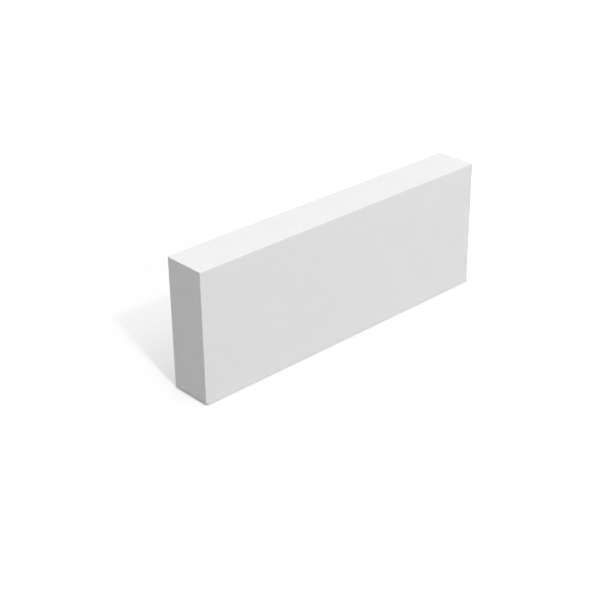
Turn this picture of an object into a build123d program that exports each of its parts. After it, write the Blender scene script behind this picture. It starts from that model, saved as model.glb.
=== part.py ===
from build123d import *

import os

# Aerated concrete block for a partition wall, sawn by wires from one cake and cured as one piece.
# Millimetres, +Z up, the length along X and the thickness along Y.
# The origin is the middle of the lower bed face, so the block stands on Z = 0.

# Driving dimensions
length = 600.0
height = 225.0
thickness = 75.0

# The wires leave sharp arrises, which handling wears a little
bed_arris = 0.5    # along the two bed faces, where the block is lifted and set down
end_arris = 0.4    # around the two end faces
largest_arris_share = 0.2    # the most that an arris may take of the thinnest side


def worn(arris):
    """Radius of a worn arris, limited by the thinnest side of the block."""
    return min(arris, largest_arris_share * min(length, height, thickness))


def sawn_prism():
    """The block as the wires leave it: the section across its length, extruded between the end cuts."""
    section = Plane.YZ * Rectangle(thickness, height)
    return Pos(-length / 2, 0, height / 2) * extrude(section, length, dir=(1, 0, 0))


def long_arrises(block):
    """The four edges that run the length of the block, along its bed faces."""
    return block.edges().filter_by(Axis.X)


def end_edges(block):
    """Every edge that bounds one of the two end faces."""
    ends = block.faces().filter_by(Axis.X)
    return [edge for face in ends for edge in face.edges()]


def aerated_concrete_block():
    """The one solid: a sawn prism with its long arrises eased first, then the rim of each end."""
    block = sawn_prism()
    block = fillet(long_arrises(block), worn(bed_arris))
    block = fillet(end_edges(block), worn(end_arris))
    block.label = "aerated_concrete_block"
    return block


os.makedirs("parts", exist_ok=True)
export_step(aerated_concrete_block(), "parts/aerated_concrete_block.step")
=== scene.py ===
import math

import bpy
import numpy as np
from mathutils import Matrix, Vector


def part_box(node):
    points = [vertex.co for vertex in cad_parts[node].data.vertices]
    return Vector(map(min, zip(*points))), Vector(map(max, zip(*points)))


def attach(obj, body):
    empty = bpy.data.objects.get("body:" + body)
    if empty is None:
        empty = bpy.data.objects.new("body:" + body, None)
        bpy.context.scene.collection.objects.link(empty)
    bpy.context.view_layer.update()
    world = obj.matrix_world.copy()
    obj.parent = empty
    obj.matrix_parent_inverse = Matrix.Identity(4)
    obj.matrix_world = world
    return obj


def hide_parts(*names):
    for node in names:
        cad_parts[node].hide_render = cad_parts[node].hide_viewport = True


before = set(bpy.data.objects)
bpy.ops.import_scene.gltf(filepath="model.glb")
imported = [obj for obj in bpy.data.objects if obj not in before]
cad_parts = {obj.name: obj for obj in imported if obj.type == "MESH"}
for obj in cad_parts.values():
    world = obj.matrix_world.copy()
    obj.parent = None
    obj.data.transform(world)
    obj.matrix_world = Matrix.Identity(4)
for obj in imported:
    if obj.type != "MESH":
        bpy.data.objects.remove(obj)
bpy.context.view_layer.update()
blockNode = "aerated_concrete_block"
blockLow, blockHigh = (np.array(corner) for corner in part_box(blockNode))
blockSize = blockHigh - blockLow
blockMid = (blockLow + blockHigh) / 2
print("frame loaded, block of", (blockSize * 1000).round(1), "mm")


# What the camera sees

cameraView = {
    "azimuth": -42.659,     # degrees round the block, 0 looks along +Y
    "elevation": 27.731,    # degrees above the horizon
    "roll": -0.658,         # degrees, as the photograph was held
    "distance": 2.1353,     # m from the point at the picture's middle
    "sideways": -0.05120,   # m from the block's middle to that point, to the right in the picture
    "upwards": -0.04904,    # m from the block's middle to that point, up in the picture
    "lens": 78.568,         # mm
    "sensor": 36.0,         # mm
}


def addCamera(view):
    # back is the unit vector from the block to the camera, and right and up span the picture
    azimuth, elevation = math.radians(view["azimuth"]), math.radians(view["elevation"])
    back = Vector((math.sin(azimuth) * math.cos(elevation), -math.cos(azimuth) * math.cos(elevation),
                   math.sin(elevation)))
    right = Vector((math.cos(azimuth), math.sin(azimuth), 0.0))
    level = Matrix((right, back.cross(right), back)).transposed()
    held = level @ Matrix.Rotation(math.radians(view["roll"]), 3, "Z")
    data = bpy.data.cameras.new("photoCamera")
    data.lens, data.sensor_width = view["lens"], view["sensor"]
    camera = bpy.data.objects.new("photoCamera", data)
    place = (Vector(blockMid) + held.col[0] * view["sideways"] + held.col[1] * view["upwards"]
             + back * view["distance"])
    camera.matrix_world = Matrix.Translation(place) @ held.to_4x4()
    bpy.context.scene.collection.objects.link(camera)
    bpy.context.scene.camera = camera


addCamera(cameraView)
print("camera placed")


# The block's skin, one closed mesh: six sawn faces of cells, many with an open pore, and twelve worn arrises.
# Every point has a number in one lattice of lines that runs through the whole block, so that the faces share
# their edges, and the pores' own points are numbered on from there.

blockShape = {
    "cell": 0.005,                     # m, a cell of a sawn face, which holds one open pore at most
    "cellShift": 0.0011,               # m, how far a cell's corner strays by itself
    "cellDrift": 0.0021,               # m, how far whole rows of cells wander
    "driftWaves": ((0.032, 0.0544), 8),    # m, how long the waves are of that, and how many of each
    "cellFade": 3,                     # cells from an arris to where they wander in full
    "arrisSteps": 4,                   # steps along an arris beside each cell
    "arrisLines": (0.0, 0.0004, 0.0009, 0.0024),    # m, lines beside each sharp edge, the last ends the cells
    "arrisRadius": 0.0004,             # m, how round handling has worn the arrises
    "footRadius": (0.0028, 0.0018),    # m, the same at the left end's foot, at its front and back corners
    "footReach": (0.003, 0.005),       # m from that foot, where the larger radius begins and ends to fade
    "footRub": (0.7, 1.3),             # the least and most that rubbing makes of that radius
    "rubWaves": ((0.004, 0.009, 0.021), 12),    # m, how long the waves of rubbing are, and how many of each
    "rubShare": 0.35,                  # of the nicks' depth that rubbing takes off
    "nickReach": 0.0005,               # m, how near a sharp edge grains are rubbed or broken off
    "nickShare": 0.10,                 # of the points there that lost a grain
    "nickDepth": 0.00030,              # m
    "nickSpread": (0.4, 1.0),          # of that depth, for the least and the greatest nick
    "poreShare": 0.42,                 # of the cells that hold a pore
    "poreRadius": (0.00034, 0.00125),  # m
    "poreSkew": 1.8,                   # above 1 most pores are small
    "poreDepth": (0.50, 0.95),         # of the radius
    "poreRoom": 0.80,                  # the most that a pore takes of the way to its cell's sides
    "poreStray": 0.7,                  # of the room that is left, how far its middle strays
    "poreRagged": 0.15,                # how far a rim strays from round
    "poreRough": (-1.0, 0.4),          # of that, inwards and outwards, at each corner of the rim
    "poreOval": 0.6,                   # of that, along the way that the rim leans
    "bowlFrom": 0.00098,               # m, from this radius a pore has a ring between its rim and its bottom
    "bowlRing": (0.72, 0.68),          # of the rim's reach and of the pore's depth, where that ring lies
    "wireWave": 0.00016,               # m, how deep the cutting wires wandered
    "wireWaves": ((0.11, 0.19, 0.34), 10),    # m, how long those waves are, and how many of each
    "seed": 75,
}
spokes = 8     # corners of a pore's rim, two for each corner of its cell


def waves(points, kinds, rng):
    # sum of sine waves in random directions and phases, so many of each length, squeezed between -1 and 1
    lengths, count = kinds
    total = np.zeros(len(points))
    for length in lengths:
        ways = rng.normal(size=(count, 3))
        ways *= (2 * np.pi / length) / np.linalg.norm(ways, axis=1, keepdims=True)
        total += np.sin(points @ ways.T + rng.uniform(0, 2 * np.pi, count)).sum(axis=1)
    return np.tanh(total / math.sqrt(len(lengths) * count))


def sideLines(span, shape):
    # distances from one end of a side: the lines beside the arris, equal steps, and the same lines mirrored
    beside = np.array(shape["arrisLines"])
    inner = span - 2 * beside[-1]
    steps = round(inner / shape["cell"]) * shape["arrisSteps"]
    between = beside[-1] + inner * np.arange(steps + 1) / steps
    return np.concatenate([beside[:-1], between, span - beside[-2::-1]])


def faceGrids(counts):
    # numbers of the line crossings of each face, turned so that first axis x second axis points outwards
    grids = []
    for across in range(3):
        first, second = (across + 1) % 3, (across + 2) % 3
        for end, axes in ((0, (second, first)), (counts[across] - 1, (first, second))):
            place = [None, None, None]
            place[across] = np.full((counts[axes[0]], counts[axes[1]]), end)
            place[axes[0]], place[axes[1]] = np.indices((counts[axes[0]], counts[axes[1]]))
            grids.append((across, end, axes, np.ravel_multi_index(place, counts)))
    return grids


def arrisFaces(grid, lines, steps):
    # rows of fine quads round the face, its corner squares, and fans from the fine steps to the cells
    cells = np.indices((grid.shape[0] - 1, grid.shape[1] - 1))
    near = [np.minimum(cells[k], grid.shape[k] - 2 - cells[k]) for k in range(2)]
    fine = lines - 2
    ring = (near[0] < fine) | (near[1] < fine) | ((near[0] == fine) & (near[1] == fine))
    i, j = cells[0][ring], cells[1][ring]
    a, b, c, d = grid[i, j], grid[i + 1, j], grid[i + 1, j + 1], grid[i, j + 1]
    found = [np.stack([a, b, c], 1), np.stack([a, c, d], 1)]
    half = steps // 2
    for turns in range(4):
        turned = np.rot90(grid, turns)
        start = np.arange(lines - 1, turned.shape[0] - lines, steps)
        outer = [turned[start + k, fine] for k in range(steps + 1)]
        left, right = turned[start, lines - 1], turned[start + steps, lines - 1]
        found += [np.stack([outer[k], outer[k + 1], left if k < half else right], 1) for k in range(steps)]
        found.append(np.stack([outer[half], right, left], 1))
    return np.concatenate(found)


def cellStrays(places, shape, rng):
    # a cell's corner strays by smooth waves that move whole rows, plus a random step; both fade near arrises
    level = np.concatenate([places.reshape(-1, 2), np.zeros((places[..., 0].size, 1))], 1)
    wander = np.stack([waves(level, shape["driftWaves"], rng) for _ in range(2)], 1).reshape(places.shape)
    strays = shape["cellDrift"] * wander + rng.uniform(-shape["cellShift"], shape["cellShift"], places.shape)
    inside = np.minimum(*(np.minimum(k, k.max() - k) for k in np.indices(places.shape[:2])))
    return strays * np.minimum(inside / shape["cellFade"], 1)[..., None]


def cellCorners(grid):
    # what stands at the four corners of every cell, in turn round it
    around = [grid[:-1, :-1], grid[1:, :-1], grid[1:, 1:], grid[:-1, 1:]]
    return np.stack(around, 2).reshape(-1, 4, *grid.shape[2:])


def roomInCell(spots, middle):
    # the least distance from a point to the four sides of its cell
    along = np.roll(spots, -1, axis=1) - spots
    arms = middle[:, None] - spots
    crossed = along[..., 0] * arms[..., 1] - along[..., 1] * arms[..., 0]
    return (crossed / np.linalg.norm(along, axis=2)).min(1)


def choosePores(spots, shape, rng):
    # radius = least + spread x random to the power skew, and the middle goes anywhere that its cell has room
    (least, most), stray = shape["poreRadius"], shape["poreStray"]
    radius = least + (most - least) * rng.random(len(spots)) ** shape["poreSkew"]
    middle = spots.mean(1)
    room = roomInCell(spots, middle) * shape["poreRoom"] - radius
    middle += rng.uniform(-stray, stray, middle.shape) * np.maximum(room, 0)[:, None]
    radius = np.minimum(radius, roomInCell(spots, middle) * shape["poreRoom"])
    isOpen = (rng.random(len(spots)) < shape["poreShare"]) & (radius > least)
    return middle, radius, isOpen


def spokeAngles(spots, middle):
    # angles round each pore: towards each corner of its cell, and half way between one corner and the next
    arms = spots - middle[:, None]
    toCorner = np.arctan2(arms[..., 1], arms[..., 0])
    gap = np.mod(np.roll(toCorner, -1, axis=1) - toCorner, 2 * np.pi)
    return np.stack([toCorner, toCorner + gap / 2], -1).reshape(len(spots), spokes)


def poreRing(middle, angles, reach):
    # points round each pore, at its own reach along each spoke
    return middle[:, None] + reach[..., None] * np.stack([np.cos(angles), np.sin(angles)], -1)


def collar(square, rim):
    # twelve triangles join the four corners of a cell to the eight points of its pore's rim
    found = []
    for side in range(4):
        here, there = square[:, side], square[:, (side + 1) % 4]
        low, mid, high = (rim[:, (2 * side + k) % spokes] for k in range(3))
        corners = ((here, there, mid), (here, mid, low), (there, high, mid))
        found += [np.stack(three, 1) for three in corners]
    return found


def fan(ring, bottom):
    # one triangle from each step of a ring to the point at its middle
    return np.stack([ring, np.roll(ring, -1, 1), np.repeat(bottom[:, None], spokes, 1)], -1).reshape(-1, 3)


def band(outer, inner):
    # two triangles for each step from one ring to the next
    outerNext, innerNext = np.roll(outer, -1, 1), np.roll(inner, -1, 1)
    halves = [np.stack([outer, outerNext, innerNext], -1), np.stack([outer, innerNext, inner], -1)]
    return np.concatenate(halves).reshape(-1, 3)


def cutPores(square, spots, middle, radius, firstNumber, shape, rng):
    # a pore is a ragged rim, a bottom point, and in a large one a ring between, in the plane of its face;
    # a rim point's reach = radius x (1 + ragged x (a random share + a lean that makes the rim oval))
    many = len(square)
    angles = spokeAngles(spots, middle)
    lean = rng.uniform(0, np.pi, (many, 1))
    rough = rng.uniform(*shape["poreRough"], (many, spokes)) + shape["poreOval"] * np.cos(2 * (angles - lean))
    reach = radius[:, None] * (1 + shape["poreRagged"] * rough)
    deep = radius * rng.uniform(*shape["poreDepth"], many)
    bowl = radius > shape["bowlFrom"]
    ringReach, ringDepth = shape["bowlRing"]
    rim = poreRing(middle, angles, reach)
    ring = poreRing(middle[bowl], angles[bowl], ringReach * reach[bowl])
    rimNumber = firstNumber + np.arange(rim[..., 0].size).reshape(many, spokes)
    bottomNumber = firstNumber + rimNumber.size + np.arange(many)
    ringNumber = firstNumber + rimNumber.size + many + np.arange(ring[..., 0].size).reshape(-1, spokes)
    faces = collar(square, rimNumber)
    faces += [fan(rimNumber[~bowl], bottomNumber[~bowl]), band(rimNumber[bowl], ringNumber),
              fan(ringNumber, bottomNumber[bowl])]
    places = np.concatenate([rim.reshape(-1, 2), middle, ring.reshape(-1, 2)])
    depth = np.concatenate([np.zeros(rimNumber.size), deep, np.repeat(ringDepth * deep[bowl], spokes)])
    rimEdges = np.stack([rimNumber, np.roll(rimNumber, -1, 1)], -1).reshape(-1, 2)
    return faces, places, depth, rimEdges


def inSpace(flat, across, axes, level):
    # points of a face's plane put in space, at one level across it
    place = np.full((len(flat), 3), float(level))
    place[:, axes[0]], place[:, axes[1]] = flat[:, 0], flat[:, 1]
    return place


def roundBox(out, shape, rub):
    # a point goes one arris radius away from the nearest point of the box that is smaller by that radius
    half = blockSize / 2
    fromFoot = np.hypot(out[:, 0] + half[0], out[:, 2] + half[2])
    foot = np.interp(fromFoot, shape["footReach"], (1, 0))
    footRadius = np.interp(out[:, 1], (-half[1], half[1]), shape["footRadius"])
    footRadius *= np.interp(rub, (0, 1), shape["footRub"])
    radius = (shape["arrisRadius"] + foot * (footRadius - shape["arrisRadius"]))[:, None]
    inner = np.clip(out, radius - half, half - radius)
    normal = out - inner
    normal /= np.linalg.norm(normal, axis=1, keepdims=True)
    return inner + radius * normal, normal


def wearArrises(out, shape, rng):
    # rounded, then worn near the sharp edges: wear = depth x a bell of the distance from the edge x
    # (a share of the rubbing + the nick, if there is one)
    rub = 0.5 + 0.5 * waves(out, shape["rubWaves"], rng)
    rounded, normal = roundBox(out, shape, rub)
    toEdge = np.sort(blockSize / 2 - np.abs(out), axis=1)[:, 1]
    arris = np.exp(-(toEdge / shape["nickReach"]) ** 2)
    nick = (rng.random(len(out)) < shape["nickShare"]) * rng.uniform(*shape["nickSpread"], len(out))
    return rounded, normal, arris, arris * shape["nickDepth"] * (shape["rubShare"] * rub + nick)


def cutFace(grid, axes, sides, firstNumber, shape, rng):
    # one sawn face in its plane: fine faces round it, whole cells of two triangles, and cells with a pore
    lines, steps = len(shape["arrisLines"]), shape["arrisSteps"]
    inner = [slice(lines - 1, size - lines + 1, steps) for size in grid.shape]
    corners = grid[inner[0], inner[1]]
    places = np.stack(np.meshgrid(sides[axes[0]][inner[0]], sides[axes[1]][inner[1]], indexing="ij"), -1)
    strays = cellStrays(places, shape, rng)
    square, spots = cellCorners(corners), cellCorners(places + strays)
    middle, radius, isOpen = choosePores(spots, shape, rng)
    poreFaces, *pores = cutPores(square[isOpen], spots[isOpen], middle[isOpen], radius[isOpen], firstNumber,
                                 shape, rng)
    whole = square[~isOpen]
    triangles = [arrisFaces(grid, lines, steps), whole[:, [0, 1, 2]], whole[:, [0, 2, 3]], *poreFaces]
    return np.concatenate(triangles), corners.ravel(), strays.reshape(-1, 2), *pores


def blockSkin(shape):
    # the faces are laid out flat, then rounded at the arrises and moved inwards along the normal by the waves
    # that the wires left, the pores' depths, and the wear of the arrises
    rng = np.random.default_rng(shape["seed"])
    sides = [sideLines(span, shape) for span in blockSize]
    counts = tuple(len(side) for side in sides)
    latticeTotal = nextNumber = int(np.prod(counts))
    faces, sheets, rims, strayed, strays, cut, cutNormal, cutDepth = ([] for _ in range(8))
    for sheet, (across, end, axes, grid) in enumerate(faceGrids(counts)):
        made, corners, stray, pores, depth, rimEdges = cutFace(grid, axes, sides, nextNumber, shape, rng)
        nextNumber += len(pores)
        faces.append(made)
        sheets.append(np.full(len(made), sheet))
        strayed.append(corners)
        strays.append(inSpace(stray, across, axes, 0))
        rims.append(rimEdges)
        cut.append(inSpace(pores, across, axes, sides[across][end]))
        cutNormal.append(inSpace(np.zeros_like(pores), across, axes, 1 if end else -1))
        cutDepth.append(depth)

    # one list of points: the lattice crossings in use, then the pores' own
    numbers, triangles = np.unique(np.concatenate(faces), return_inverse=True)
    lattice = numbers[numbers < latticeTotal]
    place = np.stack([side[k] for side, k in zip(sides, np.unravel_index(lattice, counts))], 1)
    np.add.at(place, np.searchsorted(lattice, np.concatenate(strayed)), np.concatenate(strays))
    half = blockSize / 2
    rounded, normal, arris, worn = wearArrises(place - half, shape, rng)
    flat = np.concatenate([rounded, np.concatenate(cut) - half])
    normals = np.concatenate([normal, np.concatenate(cutNormal)])
    onPores = np.zeros(len(flat) - len(lattice))
    depth = np.concatenate([np.zeros(len(lattice)), np.concatenate(cutDepth)])
    wave = shape["wireWave"] * (0.5 + 0.5 * waves(flat, shape["wireWaves"], rng))
    inwards = wave + depth + np.concatenate([worn, onPores])
    return {
        "points": flat - normals * inwards[:, None] + blockMid,
        "flat": flat,                                              # the points before they moved inwards
        "triangles": triangles.reshape(-1, 3),
        "sheets": np.concatenate(sheets),                          # which face of the block each is on
        "rims": np.searchsorted(numbers, np.concatenate(rims)),    # the edges of the pores' rims
        "arris": np.concatenate([arris, onPores]),                 # 1 on a sharp edge, 0 away from it
        "poreDepth": depth / shape["poreRadius"][1],
    }


def sheetMap(skin):
    # the six sawn faces laid out flat: the two long faces, the two beds under them, the two ends beside them;
    # u = left + half the length of that axis + the place along it, and v in the same way
    length, thick, height = blockSize
    gap = 0.003     # m, left between one face and the next
    wide, tall = length + thick + 3 * gap, 2 * height + 2 * thick + 5 * gap
    # in the order of faceGrids: left end, right end, front, back, lower bed, upper bed
    across = np.array([1, 1, 0, 0, 0, 0])
    upward = np.array([2, 2, 2, 2, 1, 1])
    mirrored = np.array([-1, 1, 1, -1, -1, 1])
    left = np.array([length + 2 * gap, length + 2 * gap, gap, gap, gap, gap])
    low = np.array([gap, height + 2 * gap, gap, height + 2 * gap, 2 * height + 3 * gap,
                    2 * height + thick + 4 * gap])
    spot = skin["flat"][skin["triangles"]]
    sheet = skin["sheets"][:, None]
    half = blockSize / 2
    u = np.take_along_axis(spot, across[sheet][..., None], 2)[..., 0]
    v = np.take_along_axis(spot, upward[sheet][..., None], 2)[..., 0]
    u = left[sheet] + half[across[sheet]] + u * mirrored[sheet]
    v = low[sheet] + half[upward[sheet]] + v
    return np.stack([u / wide, v / tall], -1)


def makeMesh(name, skin):
    # smooth everywhere but on the rims of the pores, with the flat sheet as its UV map
    points, triangles = skin["points"], skin["triangles"]
    mesh = bpy.data.meshes.new(name)
    mesh.vertices.add(len(points))
    mesh.vertices.foreach_set("co", points.astype(np.float32).ravel())
    mesh.loops.add(triangles.size)
    mesh.loops.foreach_set("vertex_index", triangles.astype(np.int32).ravel())
    mesh.polygons.add(len(triangles))
    mesh.polygons.foreach_set("loop_start", np.arange(0, triangles.size, 3, dtype=np.int32))
    mesh.polygons.foreach_set("use_smooth", np.ones(len(triangles), bool))
    mesh.update(calc_edges=True)
    layer = mesh.uv_layers.new(name="OFBake")
    layer.data.foreach_set("uv", sheetMap(skin).astype(np.float32).ravel())
    ends = np.empty(2 * len(mesh.edges), np.int32)
    mesh.edges.foreach_get("vertices", ends)
    ends = np.sort(ends.reshape(-1, 2), axis=1).astype(np.int64)
    oneNumber = np.array([len(points), 1])     # makes one number of an edge's two
    sharp = np.isin(ends @ oneNumber, np.sort(skin["rims"], axis=1) @ oneNumber)
    mesh.attributes.new("sharp_edge", "BOOLEAN", "EDGE").data.foreach_set("value", sharp)
    for layerName in ("arris", "poreDepth"):
        layer = mesh.attributes.new(layerName, "FLOAT", "POINT")
        layer.data.foreach_set("value", skin[layerName].astype(np.float32))
    print(name, "needed mending:", mesh.validate(), "- crisp edges:", int(sharp.sum()))
    return mesh


blockSurface = blockSkin(blockShape)
print("skin worked out:", len(blockSurface["points"]), "points,", len(blockSurface["triangles"]), "triangles")
skinMesh = makeMesh("sawnBlock", blockSurface)
sawnBlock = bpy.data.objects.new("sawnBlock", skinMesh)
bpy.context.scene.collection.objects.link(sawnBlock)
print("block made")


# Cured aerated concrete: chalky, pale grey-white, full of cut bubbles of three sizes

curedConcrete = {
    "tone": 0.83,               # linear grey of the cut matrix
    "bubbles": (                # m across a cell, least and greatest radius in cells, depth in mm, painted shade
        (0.0044, 0.06, 0.21, 0.17, 0.08),
        (0.0022, 0.18, 0.42, 0.14, 0.075),
        (0.0011, 0.22, 0.50, 0.075, 0.06),
    ),
    "bubbleSkew": 2.0,          # above 1 most bubbles are small
    "bubbleFlat": 0.55,         # of a bubble's radius, the level part of its bottom
    "wobble": 0.00045,          # m, how far a bubble's outline strays
    "wobbleSize": 0.0016,       # m from one stray to the next
    "mottle": 0.007,            # of the tone, how much lighter and darker the patches are
    "mottleSize": 0.035,        # m
    "grain": 0.022,             # the same for the grains
    "grainSize": 0.0011,        # m
    "crumbHeight": 0.028,       # mm, the crumbs between the grains
    "crumbSize": 0.0006,        # m
    "wireMark": 0.010,          # mm, ridges that the wires leave
    "wirePitch": 0.0034,        # m from ridge to ridge
    "wireBend": 6.0,            # how crooked the ridges run
    "arrisLift": 0.01,          # of the colour, how much paler a worn arris is
    "paintedPoreShade": 0.17,          # of the colour, painted shade: how much darker the bottom of the deepest pore is
    "roughness": (0.86, 0.98),
    "roughSize": 0.002,         # m, patches of less and more
    "specular": 0.22,
}
bandPitch = 0.314           # m from band to band of a wave texture at scale 1
noiseSpan = (0.3, 0.7)      # nearly all values of a noise lie between these
grainSpan = (0.25, 0.75)    # and those of the rougher noise of the grains between these
heightUnit = 0.001          # m, the heights and depths above are in mm


class Nodes:
    # short calls that add nodes to one tree and join them
    def __init__(self, tree):
        self.tree = tree
        tree.nodes.clear()

    def feed(self, socket, value):
        # a socket is joined, and anything else is the socket's own value
        if isinstance(value, bpy.types.NodeSocket):
            self.tree.links.new(value, socket)
        else:
            socket.default_value = value

    def add(self, kind, inputs, **settings):
        # a new node with its settings, and its inputs by name or number
        node = self.tree.nodes.new(kind)
        for name, value in settings.items():
            setattr(node, name, value)
        for name, value in inputs.items():
            self.feed(node.inputs[name], value)
        return node

    def maths(self, how, a, b=0.0, c=0.0):
        # one math node: a x b, a x b + c and so on, as how says
        return self.add("ShaderNodeMath", {0: a, 1: b, 2: c}, operation=how).outputs[0]

    def lessShare(self, colour, part, share):
        # colour x (1 - share x part)
        return self.maths("MULTIPLY", colour, self.maths("MULTIPLY_ADD", part, -share, 1.0))

    def remap(self, value, low, high, toLow, toHigh, how="LINEAR"):
        # toLow at low and toHigh at high, in a straight line or eased between them
        ends = {"Value": value, "From Min": low, "From Max": high, "To Min": toLow, "To Max": toHigh}
        return self.add("ShaderNodeMapRange", ends, interpolation_type=how).outputs[0]

    def noise(self, where, size, detail=2.0, rough=0.5):
        # cloudy values whose largest patches are about the given size across, in m
        inputs = {"Vector": where, "Scale": 1 / size, "Detail": detail, "Roughness": rough}
        return self.add("ShaderNodeTexNoise", inputs).outputs

    def attribute(self, name):
        # a value that the mesh holds at each of its points
        return self.add("ShaderNodeAttribute", {}, attribute_name=name).outputs["Fac"]


def cutBubbles(n, where, finish, height, colour):
    # cells of three sizes, each with a bubble of its own radius cut open: there the height falls by the depth
    # and the colour by a painted shade, eased from the rim to the level part
    for size, least, greatest, depth, paintedShade in finish["bubbles"]:
        cells = n.add("ShaderNodeTexVoronoi", {"Vector": where, "Scale": 1 / size}).outputs
        chance = n.add("ShaderNodeSeparateColor", {"Color": cells["Color"]}).outputs[0]
        radius = n.remap(n.maths("POWER", chance, finish["bubbleSkew"]), 0.0, 1.0, least, greatest)
        level = n.maths("MULTIPLY", radius, finish["bubbleFlat"])
        inside = n.remap(cells["Distance"], level, radius, 1.0, 0.0, "SMOOTHSTEP")
        height = n.maths("MULTIPLY_ADD", inside, -depth, height)
        # painted shade, darker inside each bubble
        colour = n.lessShare(colour, inside, paintedShade)
    return height, colour


def concreteMaterial(finish):
    # colour = tone x mottling x grain, less in bubbles and pores where shade is painted; height = crumbs +
    # wire ridges - bubbles
    material = bpy.data.materials.new("curedConcrete")
    material.use_nodes = True
    n = Nodes(material.node_tree)
    where = n.add("ShaderNodeTexCoord", {}).outputs["Object"]
    stray = n.noise(where, finish["wobbleSize"], detail=1.0)["Color"]
    astray = n.add("ShaderNodeVectorMath", {0: stray, 1: (2 * finish["wobble"],) * 3, 2: where},
                   operation="MULTIPLY_ADD").outputs[0]
    crumbs = n.noise(where, finish["crumbSize"], detail=3.0, rough=0.6)["Fac"]
    height = n.maths("MULTIPLY", crumbs, finish["crumbHeight"])
    dark, light = finish["tone"] * (1 - finish["mottle"]), finish["tone"] * (1 + finish["mottle"])
    clouds = n.noise(where, finish["mottleSize"], detail=3.0, rough=0.55)["Fac"]
    patches = n.remap(clouds, *noiseSpan, dark, light)
    specks = n.noise(where, finish["grainSize"], detail=2.0, rough=0.7)["Fac"]
    grains = n.remap(specks, *grainSpan, 1 - finish["grain"], 1 + finish["grain"])
    height, colour = cutBubbles(n, astray, finish, height, n.maths("MULTIPLY", patches, grains))
    wires = {"Vector": where, "Scale": bandPitch / finish["wirePitch"], "Distortion": finish["wireBend"]}
    ridges = n.add("ShaderNodeTexWave", wires, bands_direction="X").outputs["Fac"]
    height = n.maths("MULTIPLY_ADD", ridges, finish["wireMark"], height)
    colour = n.lessShare(colour, n.attribute("arris"), -finish["arrisLift"])
    # painted shade, darkest at the bottoms of the pores
    colour = n.lessShare(colour, n.attribute("poreDepth"), finish["paintedPoreShade"])
    grey = n.add("ShaderNodeCombineColor", {"Red": colour, "Green": colour, "Blue": colour}).outputs[0]
    bump = n.add("ShaderNodeBump", {"Height": height, "Distance": heightUnit, "Strength": 1.0}).outputs[0]
    rough = n.remap(n.noise(where, finish["roughSize"])["Fac"], *noiseSpan, *finish["roughness"])
    shader = n.add("ShaderNodeBsdfPrincipled", {"Base Color": grey, "Roughness": rough, "Normal": bump,
                                                "Specular IOR Level": finish["specular"]})
    n.add("ShaderNodeOutputMaterial", {"Surface": shader.outputs[0]})
    return material


skinMesh.materials.append(concreteMaterial(curedConcrete))
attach(sawnBlock, "root")
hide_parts(blockNode)
print("block finished in cured concrete")


# The studio: a pale floor, a small key lamp, softboxes, and a plain world

studio = {
    "keyFrom": (-14.1, 40.3),     # degrees from the front round to the left, and above the floor
    "key": 0.172,                 # share of white that it gives the floor
    "keyAngle": 3.0,              # degrees across
    # from and share as for the key, then m wide and long, and m away
    "softboxes": {
        "lowStrip": {"from": (-13.9, 53.0), "share": 0.262, "size": (0.85, 5.0), "away": 12.0},
        "highStrip": {"from": (-13.9, 76.5), "share": 0.148, "size": (0.85, 5.0), "away": 12.0},
        "rightFill": {"from": (62.0, 38.0), "share": 0.111, "size": (1.0, 1.0), "away": 1.5},
        "leftFill": {"from": (-80.0, 58.0), "share": 0.0755, "size": (0.7, 0.7), "away": 0.95},
    },
    "world": 0.343,               # share of white that comes from everywhere
    "floorSize": 40.0,            # m
    "floorTone": 0.40,            # what the floor scatters
    "floorGlow": (0.592, 1.0),    # what the camera sees on top of that, in the shadow and far away
    "glowMiddle": (0.0, 0.15, 0.0),    # m, the middle of the shadow on the floor
    "glowFrom": (0.26, 0.75),     # m from there
    "paintedContactShade": ((0.005, 1.0), (0.08, 0.30)),    # painted contact shade: m, how near the block the glow is dimmed, and what share
    "contactShadeSamples": 8,
}


def towards(degrees):
    # the unit vector from the block to a lamp so many degrees round from the front (-Y) and above the floor
    turn, rise = (math.radians(angle) for angle in degrees)
    return Vector((math.sin(turn) * math.cos(rise), -math.cos(turn) * math.cos(rise), math.sin(rise)))


def seenDirectly(n):
    # 1 for rays from the camera and those that glossy or clear surfaces send on, 0 for light
    path = n.add("ShaderNodeLightPath", {}).outputs
    either = n.maths("MAXIMUM", path["Is Camera Ray"], path["Is Glossy Ray"])
    return n.maths("MAXIMUM", either, path["Is Transmission Ray"])


def addWorld(light):
    # the world's share as light, and plain white where it is seen
    world = bpy.data.worlds.new("studioWorld")
    bpy.context.scene.world = world
    world.use_nodes = True
    n = Nodes(world.node_tree)
    strength = n.remap(seenDirectly(n), 0.0, 1.0, light["world"], 1.0)
    shown = n.add("ShaderNodeBackground", {"Color": (1, 1, 1, 1), "Strength": strength})
    n.add("ShaderNodeOutputWorld", {"Surface": shown.outputs[0]})


def addLamp(name, kind, direction, energy, away=10.0):
    # a lamp so far from the block's middle along a direction, shining back along it
    data = bpy.data.lights.new(name, kind)
    data.energy = energy
    lamp = bpy.data.objects.new(name, data)
    lamp.location = Vector(blockMid) + direction * away
    lamp.rotation_mode = "QUATERNION"
    lamp.rotation_quaternion = direction.to_track_quat("Z", "Y")
    bpy.context.scene.collection.objects.link(lamp)
    return data


def addKey(light):
    # strength for a share of white on the floor = share x pi / the height of its direction
    direction = towards(light["keyFrom"])
    lamp = addLamp("keyLamp", "SUN", direction, math.pi * light["key"] / direction.z)
    lamp.angle = math.radians(light["keyAngle"])


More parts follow.
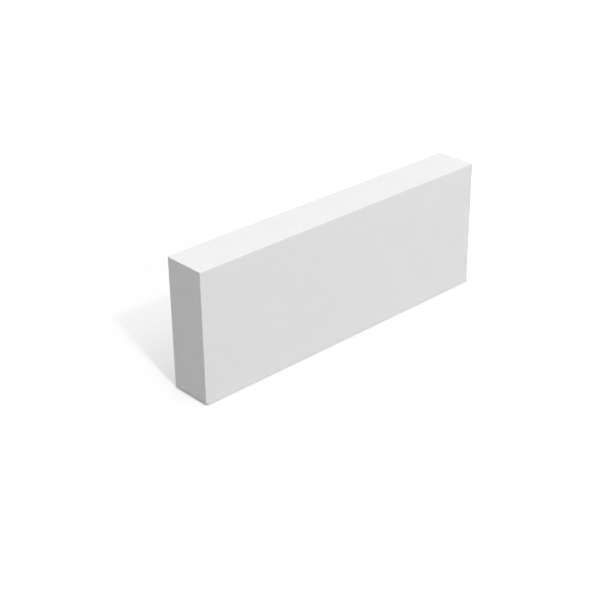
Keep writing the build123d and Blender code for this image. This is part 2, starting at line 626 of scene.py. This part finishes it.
def addSoftbox(name, box):
    # power for a share of white on the floor = share x (pi x distance) squared / the height of its direction
    direction = towards(box["from"])
    power = box["share"] * (math.pi * box["away"]) ** 2 / direction.z
    lamp = addLamp(name, "AREA", direction, power, box["away"])
    lamp.shape = "RECTANGLE"
    lamp.size, lamp.size_y = box["size"]


def floorMaterial(light):
    # light that the floor scatters, plus a glow seen by the camera that rises to white away from the shadow;
    # for each reach, a painted contact shade: glow x (1 - share x how much of the sky the block hides within
    # that reach)
    material = bpy.data.materials.new("paleFloor")
    material.use_nodes = True
    n = Nodes(material.node_tree)
    where = n.add("ShaderNodeTexCoord", {}).outputs["Object"]
    away = n.add("ShaderNodeVectorMath", {0: where, 1: light["glowMiddle"]}, operation="DISTANCE")
    rise = n.remap(away.outputs["Value"], *light["glowFrom"], *light["floorGlow"], "SMOOTHSTEP")
    strength = n.maths("MULTIPLY", seenDirectly(n), rise)
    # painted contact shade: the glow is darker where the block hides the sky close by
    for reach, share in light["paintedContactShade"]:
        clear = n.add("ShaderNodeAmbientOcclusion", {"Distance": reach}, samples=light["contactShadeSamples"])
        strength = n.lessShare(strength, n.maths("SUBTRACT", 1.0, clear.outputs["AO"]), share)
    scatter = n.add("ShaderNodeBsdfDiffuse", {"Color": (light["floorTone"],) * 3 + (1,)})
    glow = n.add("ShaderNodeEmission", {"Color": (1, 1, 1, 1), "Strength": strength})
    both = n.add("ShaderNodeAddShader", {0: scatter.outputs[0], 1: glow.outputs[0]})
    n.add("ShaderNodeOutputMaterial", {"Surface": both.outputs[0]})
    return material


def addFloor(light):
    # a flat square at the level that the block stands on
    half = light["floorSize"] / 2
    mesh = bpy.data.meshes.new("floor")
    corners = [(-half, -half, 0), (half, -half, 0), (half, half, 0), (-half, half, 0)]
    mesh.from_pydata(corners, [], [(0, 1, 2, 3)])
    mesh.materials.append(floorMaterial(light))
    floor = bpy.data.objects.new("floor", mesh)
    bpy.context.scene.collection.objects.link(floor)


addWorld(studio)
addKey(studio)
for boxName, box in studio["softboxes"].items():
    addSoftbox(boxName, box)
addFloor(studio)
bpy.context.scene.view_settings.view_transform = "Standard"
print("studio lit")
